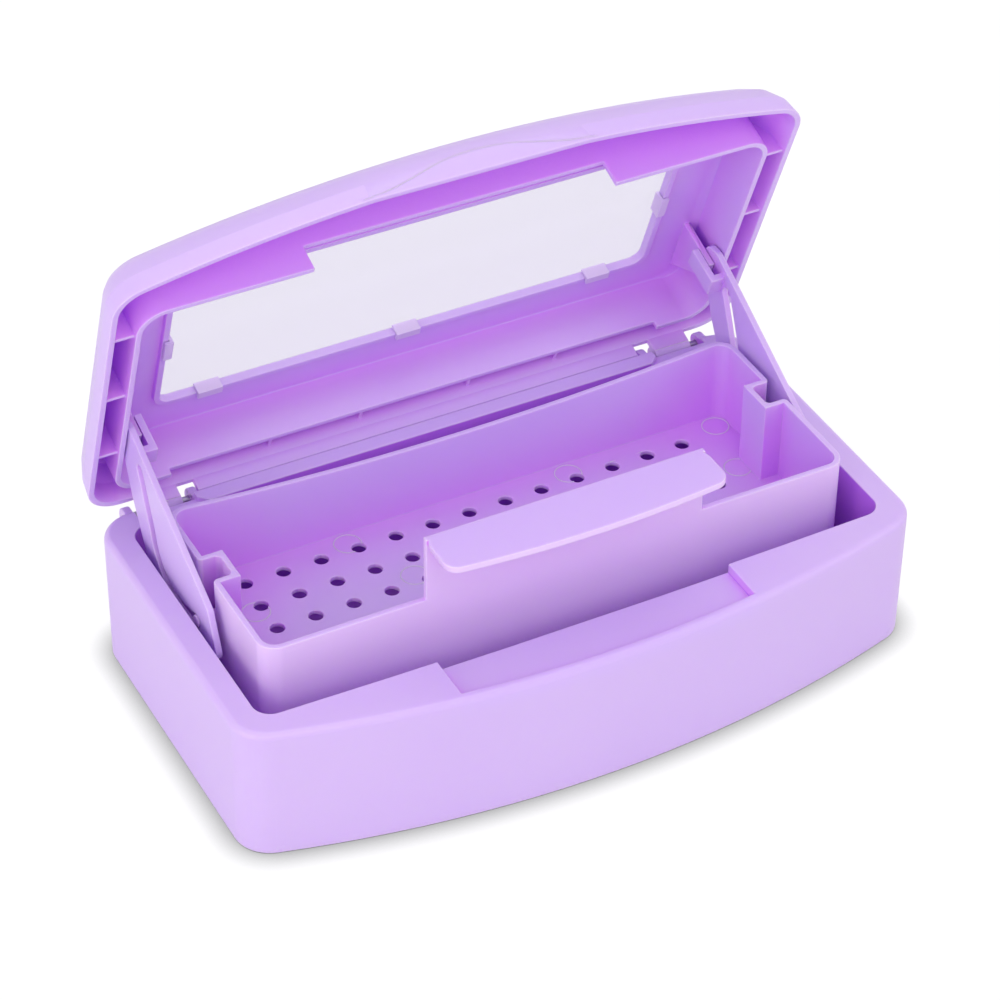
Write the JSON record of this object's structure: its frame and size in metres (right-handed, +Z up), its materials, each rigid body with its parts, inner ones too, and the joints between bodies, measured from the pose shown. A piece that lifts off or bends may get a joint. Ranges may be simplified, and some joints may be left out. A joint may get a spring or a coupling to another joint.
{
  "type": "instrument sterilizing tray box",
  "caption": "Lilac moulded tub with a hinged windowed lid that lifts a perforated instrument tray by two slotted arms as it opens.",
  "frame": {"origin": "on the plane that the tub stands on, midway between its sides and below the tray's middle", "axes": "+Z up, +X to the right along the long side, +Y towards the hinge at the back"},
  "size_m": [0.22, 0.1439, 0.1602],
  "materials": {
    "lilac_plastic": "satin gloss",
    "clear_plastic": "clear, polished",
    "steel": "drawn wire"
  },
  "bodies": {
    "tub": {"base_tub": "lilac_plastic", "hinge_pin_left": "steel", "hinge_pin_right": "steel"},
    "lid": {"lid_shell": "lilac_plastic", "window_pane": "clear_plastic"},
    "tray": {"instrument_tray": "lilac_plastic"},
    "arm_left": {"lift_arm_left": "lilac_plastic"},
    "arm_right": {"lift_arm_right": "lilac_plastic"}
  },
  "joints": [
    {"name": "lid_hinge", "type": "hinge", "parent": "tub", "child": "lid", "pos_m": [0, 0.05936, 0.04058], "axis": [1, 0, 0], "range_deg": [0, 69.7]},
    {"name": "tray_lift", "type": "slide", "parent": "tub", "child": "tray", "axis": [0, 0, 1], "range_m": [-0.02615, 0]},
    {"name": "arm_left_pivot", "type": "hinge", "parent": "lid", "child": "arm_left", "pos_m": [-0.096, 0.0541, 0.07474], "axis": [1, 0, 0], "range_deg": [-65.8, 0]},
    {"name": "arm_right_pivot", "type": "hinge", "parent": "lid", "child": "arm_right", "pos_m": [0.096, 0.0541, 0.07474], "axis": [1, 0, 0], "range_deg": [-65.8, 0]}
  ],
  "couplings": [
    {"joint": "tray_lift", "follows": "lid_hinge", "m_per_rad": -0.021414},
    {"joint": "arm_left_pivot", "follows": "lid_hinge", "ratio": -0.94261},
    {"joint": "arm_right_pivot", "follows": "lid_hinge", "ratio": -0.94261}
  ]
}
